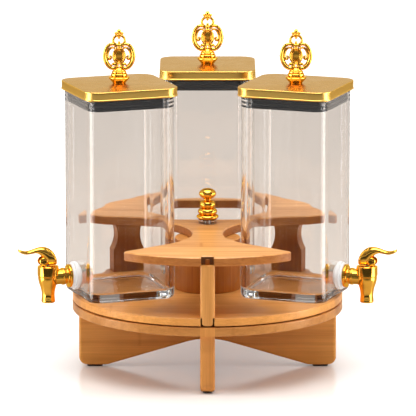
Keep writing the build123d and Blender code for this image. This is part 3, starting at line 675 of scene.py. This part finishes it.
satin_gold = lid_finish()
seal_rubber = moulded("seal_rubber", (0.026, 0.027, 0.028), 0.36)
plug_plastic = moulded("dark_plastic", (0.05, 0.05, 0.05), 0.4)
for spot in carriers:
    new_piece(spot + "_cover_pressed", [set_down(squared(cover_rows(), arc=14), spot)], satin_gold,
              spot + "_lid", [spot + "_lid_cover"], crease=60.0)
    dress(seal_rubber, spot + "_lid_seal")
    dress(plug_plastic, spot + "_lid_plug")

# Finials
# Openwork castings on the lids, gold plated and polished: a turned foot, two facing scrolls round
# an oval boss of duller gold, a ring above them and beads on top.
boss_z = 30.2


def swept(path, thick, flat, count, taper):
    """A round bar carried along a path in the X-Z plane: path + r (cos a n + flat sin a y), n being
    square to the path in its plane. The bar thins towards its ends by the taper, and its end rows
    close in a point."""
    slope = np.gradient(path, axis=0)
    slope /= np.linalg.norm(slope, axis=1)[:, None]
    s = np.linspace(-1.0, 1.0, len(path))
    radius = thick * (1.0 - taper * s ** 2)
    radius[[0, -1]] = 0.0
    angle = np.linspace(0.0, 2 * np.pi, count, endpoint=False)
    normal = np.stack([slope[:, 1], 0 * s, -slope[:, 0]], -1)[:, None]
    side = (radius[:, None] * np.cos(angle))[..., None] * normal
    deep = (flat * radius[:, None] * np.sin(angle))[..., None] * np.array([0.0, 1.0, 0.0])
    spine = np.stack([path[:, 0], 0 * s, path[:, 1]], -1)
    return spine[:, None] + side + deep


def hoop(z, half_wide, half_tall, thick, flat):
    """A closed oval bar round a height on the axis: a cos t, z + b sin t carried as a round bar and
    run into its own start."""
    t = np.linspace(0.0, 2 * np.pi, 73)
    spine = np.stack([half_wide * np.cos(t), 0 * t, z + half_tall * np.sin(t)], -1)
    normal = np.stack([half_tall * np.cos(t), 0 * t, half_wide * np.sin(t)], -1)
    normal /= np.linalg.norm(normal, axis=1)[:, None]
    angle = np.linspace(0.0, 2 * np.pi, 16, endpoint=False)[None, :, None]
    deep = thick * flat * np.sin(angle) * np.array([0.0, 1.0, 0.0])
    return spine[:, None] + thick * np.cos(angle) * normal[:, None] + deep


def bead(x, z, wide, deep, tall):
    """An ellipsoid: half axes times (cos b cos a, cos b sin a, sin b)."""
    b = np.linspace(-np.pi / 2, np.pi / 2, 21)[:, None]
    a = np.linspace(0.0, 2 * np.pi, 28, endpoint=False)[None, :]
    across, depth = wide * np.cos(b) * np.cos(a), deep * np.cos(b) * np.sin(a)
    return np.stack([x + across, depth, z + tall * np.sin(b) + 0 * a], -1)


def curl(x, z, start, turns, wide, narrow, count=40):
    """A spiral line: its radius shrinks evenly from wide to narrow while it turns."""
    t = np.linspace(0.0, 1.0, count)
    angle = start + 2 * np.pi * turns * t
    radius = wide + (narrow - wide) * t
    return np.stack([x + radius * np.cos(angle), z + radius * np.sin(angle)], -1)


def finial_grids():
    """The bars, beads and foot of one finial, standing at the origin in the X-Z plane."""
    foot = np.concatenate([
        eased([(0.0, 0.0), (6.9, 0.0), (7.2, 0.8), (10.9, 5.2), (11.45, 5.9), (11.45, 7.0),
               (10.6, 7.6)], bite=0.7),
        beads([(9.4, 1.7, 8.2, 9.2), (12.4, 1.5, 6.9, 8.0), (14.6, 0.9, 5.2, 6.2)]),
        eased([(4.8, 15.4), (3.6, 17.0), (0.0, 17.6)], bite=0.5)])
    rim = flowing([(2.2, 40.2), (4.4, 42.6), (8.2, 43.3), (12.0, 41.2), (14.8, 36.6), (15.9, 31.0),
                   (15.2, 25.4), (12.6, 20.2), (8.8, 16.9), (5.2, 16.7), (3.2, 18.9), (4.4, 21.3),
                   (6.6, 20.9), (6.6, 19.6)], count=110)
    inner = flowing([(4.6, 38.9), (8.0, 39.4), (11.0, 37.0), (12.7, 32.8), (12.6, 28.9),
                     (10.9, 26.9), (9.0, 27.9), (9.4, 29.9), (10.6, 29.6)], count=80)
    lower = flowing([(13.0, 26.6), (12.4, 23.4), (10.2, 20.4), (7.8, 19.2)], count=30)
    stalk = flowing([(1.1, 15.6), (1.7, 18.4), (2.6, 21.2), (3.6, 22.8)], count=24)
    # Each bar of a scroll has its line, its radius and its taper.
    bars = [(rim, 2.1, 0.3), (inner, 1.6, 0.35), (lower, 1.25, 0.4), (stalk, 1.5, 0.4)]
    grids = [turned(foot, count=64)]
    for side in (-1.0, 1.0):
        for path, thick, taper in bars:
            grids.append(swept(path * (side, 1.0), thick, flat=1.15, count=16, taper=taper))
        tendril = curl(side * 3.7, 39.0, np.pi / 2 + side * 0.6, -side * 1.1, 1.9, 0.6)
        grids.append(swept(tendril, 0.95, flat=1.3, count=12, taper=0.4))
        grids.append(bead(side * 3.5, 55.3, 1.65, 1.65, 1.65))
    grids += [hoop(boss_z, 6.3, 8.4, 1.25, 1.5), hoop(boss_z, 4.7, 6.7, 0.5, 2.6),
              hoop(47.6, 6.35, 5.5, 1.45, 1.15)]
    grids += [bead(0.0, 50.9, 1.7, 1.7, 1.9), bead(0.0, 44.6, 1.6, 1.6, 2.1),
              bead(0.0, 40.6, 1.9, 1.9, 2.4), bead(0.0, 54.2, 2.7, 2.2, 1.3),
              bead(0.0, 57.3, 2.45, 2.45, 2.7)]
    return grids


boss_gold = metal("rubbed_gold", (0.9, 0.46, 0.06), (0.8, 0.38, 0.04), 0.2, 0.32, 0.08, gold_edge)
boss = bead(0.0, boss_z, 4.8, 1.9, 6.8)
for spot in carriers:
    finial_low, finial_high = box_mm(spot + "_finial")
    middle = (finial_low + finial_high) / 2
    seat = np.array([middle[0], middle[1], table_top + lid_top])
    new_piece(spot + "_finial_cast", [grid + seat for grid in finial_grids()], gold, spot + "_lid",
              [spot + "_finial"], crease=50.0)
    new_piece(spot + "_finial_boss", [boss + seat], boss_gold, spot + "_lid")

# Studio
# A pale glossy floor that runs on to the horizon, a white room round it that is darker behind the
# camera, two tall soft lights at the sides and one overhead, and a long lens above the lids.
soft = "SMOOTHSTEP"


def floor_finish():
    """White lacquered board that keeps the shadow and a soft reflection, and is lifted to white for
    the camera. Seen through glass it has a painted warm grey shade and a faint painted glow. Seen
    in a mirroring face it carries painted reflections: dark in front of the object, a bright strip
    on either side and a bright band far in front, in place of the dark and white cards of a
    studio."""
    made, tree, skin, place = new_finish("studio_floor")
    white, painted_warm_grey = (0.885, 0.88, 0.88, 1), (0.42, 0.37, 0.325)
    plain_glow, warm_glow, glass_glow = (1, 1, 1, 1), (1, 0.78, 0.62, 1), 0.15
    front_reflection_glow, side_reflection_glow, strip_slant = 0.55, 5.0, -0.38
    dark_zone, least_shown = (-0.45, -0.18), 0.03
    fade_zone, least_lift, most_lift = (0.25, 0.95), 0.03, 0.7
    front_reflection_zone, strip_edge, strip_start = (-1.3, -1.0), (0.2, 0.3), (0.35, 0.5)
    path = add(tree, "LightPath").outputs
    spot = add(tree, "SeparateXYZ", {0: place}).outputs
    mirrored = reckon(tree, "GREATER_THAN", path["Glossy Depth"], 0.5)
    clear_way = reckon(tree, "MAXIMUM", path["Is Glossy Ray"], path["Is Transmission Ray"])
    # Painted reflection: rays mirrored on the way see the floor in front of the object darkened to
    # near black.
    near = ramp(tree, spot["Y"], *dark_zone, least_shown, 1.0, soft)
    shown = mixed(tree, mirrored, 1.0, near, "FLOAT")
    # Painted shade: glossy and transmission rays see the floor warm grey instead of white.
    grey = add(tree, "VectorMath", {0: painted_warm_grey, "Scale": shown}, operation="SCALE").outputs[0]
    tone = mixed(tree, clear_way, white, grey)
    # The glow for the camera grows with the distance from the object.
    away = add(tree, "VectorMath", {0: place}, operation="LENGTH").outputs["Value"]
    fade = ramp(tree, away, *fade_zone, least_lift, most_lift, soft)
    lift = reckon(tree, "MULTIPLY", path["Is Camera Ray"], fade)
    # Painted glow: rays through glass see a faint warm glow on the floor.
    through = reckon(tree, "MULTIPLY", path["Is Transmission Ray"], shown)
    lift = reckon(tree, "MULTIPLY_ADD", through, glass_glow, lift)
    # Painted reflections, seen only in mirrored rays: a glowing band in front lies across the view,
    # and glowing strips run outwards at a slant of Y over X.
    front = ramp(tree, spot["Y"], *front_reflection_zone, front_reflection_glow, 0.0, soft)
    aside = reckon(tree, "ABSOLUTE", spot["X"])
    slant = reckon(tree, "DIVIDE", spot["Y"], aside)
    slant = reckon(tree, "SUBTRACT", slant, strip_slant)
    slant = reckon(tree, "ABSOLUTE", slant)
    strip = ramp(tree, slant, *strip_edge, side_reflection_glow, 0.0, soft)
    beside = ramp(tree, aside, *strip_start, 0.0, 1.0, soft)
    strip = reckon(tree, "MULTIPLY", strip, beside)
    painted_reflections = reckon(tree, "ADD", front, strip)
    lift = reckon(tree, "MULTIPLY_ADD", mirrored, painted_reflections, lift)
    glow = mixed(tree, through, plain_glow, warm_glow)
    fill(tree, skin, {"Base Color": tone, "Roughness": 0.15, "Emission Color": glow,
                      "Emission Strength": lift})
    return made


floor_mesh = bpy.data.meshes.new("studio_floor")
floor_corners = [(-30, -12, 0), (30, -12, 0), (30, 40, 0), (-30, 40, 0)]
floor_mesh.from_pydata(floor_corners, [], [(0, 1, 2, 3)])
floor_mesh.materials.append(floor_finish())
floor = bpy.data.objects.new("studio_floor", floor_mesh)
bpy.context.scene.collection.objects.link(floor)


def light_room():
    """A room that is white for the camera and even for shadows and matt faces. Mirroring faces see
    it dark in front and brighter behind, with a card on either side at the first reflection.
    Through glass it is warmer and half as bright."""
    world = bpy.data.worlds.new("studio_room")
    bpy.context.scene.world = world
    world.use_nodes = True
    room = world.node_tree
    even, half, card_glow = 0.29, 0.52, 9.0
    darkest, front_glow, side_glow, back_glow = 0.02, 0.2, 0.5, 0.45
    rise, front_turn, back_turn = (0.05, 0.3), (-0.72, -0.3), (0.4, 0.95)
    card_turn, glass_turn = (0.92, 0.97), (-0.3, 0.2)
    plain_hue, warm_hue = (1, 1, 1, 1), (1, 0.89, 0.8, 1)
    place = room.nodes.new("ShaderNodeTexCoord").outputs["Generated"]
    facing = add(room, "SeparateXYZ", {0: place}).outputs
    path = add(room, "LightPath").outputs
    mirrored = reckon(room, "GREATER_THAN", path["Glossy Depth"], 0.5)
    low_front = ramp(room, facing["Z"], *rise, darkest, front_glow)
    front = ramp(room, facing["Y"], *front_turn, low_front, side_glow, soft)
    behind = ramp(room, facing["Y"], *back_turn, 0.0, back_glow, soft)
    sideways = reckon(room, "ABSOLUTE", facing["X"])
    card = ramp(room, sideways, *card_turn, 0.0, card_glow, soft)
    first = reckon(room, "LESS_THAN", path["Glossy Depth"], 1.5)
    around = reckon(room, "ADD", front, behind)
    around = reckon(room, "MULTIPLY_ADD", card, first, around)
    beyond = ramp(room, facing["Y"], *glass_turn, darkest, half, soft)
    beyond = mixed(room, mirrored, half, beyond, "FLOAT")
    glow = mixed(room, path["Is Glossy Ray"], even, around, "FLOAT")
    glow = mixed(room, path["Is Transmission Ray"], glow, beyond, "FLOAT")
    glow = mixed(room, path["Is Camera Ray"], glow, 1.0, "FLOAT")
    hue = mixed(room, path["Is Transmission Ray"], plain_hue, warm_hue)
    fill(room, room.nodes["Background"], {"Color": hue, "Strength": glow})


light_room()


def soft_light(name, place, wide, tall, watts):
    """A rectangular soft light, a little warm, that faces the middle of the object."""
    lamp = bpy.data.lights.new(name, "AREA")
    lamp.shape, lamp.size, lamp.size_y = "RECTANGLE", wide, tall
    lamp.energy, lamp.color = watts, (1.0, 0.97, 0.93)
    made = bpy.data.objects.new(name, lamp)
    made.location = place
    aim = Vector((0.0, 0.0, 0.2)) - made.location
    made.rotation_euler = aim.to_track_quat("-Z", "Y").to_euler()
    bpy.context.scene.collection.objects.link(made)


soft_light("left_softbox", (-1.5, -0.15, 0.95), wide=0.4, tall=1.6, watts=13.0)
soft_light("right_softbox", (1.5, -0.15, 0.95), wide=0.4, tall=1.6, watts=13.0)
soft_light("overhead", (0.0, -0.1, 1.9), wide=1.6, tall=1.9, watts=57.0)

pitch_down = 11.18
lens = bpy.data.cameras.new("studio_camera")
lens.sensor_width = 36.0
lens.lens = 398.2
lens.clip_end = 100.0
camera = bpy.data.objects.new("studio_camera", lens)
camera.location = (0.0005, -5.0, 1.1667)
camera.rotation_euler = (np.radians(90.0 - pitch_down), 0.0, 0.0)
bpy.context.scene.collection.objects.link(camera)
bpy.context.scene.camera = camera
bpy.context.scene.view_settings.view_transform = "Standard"
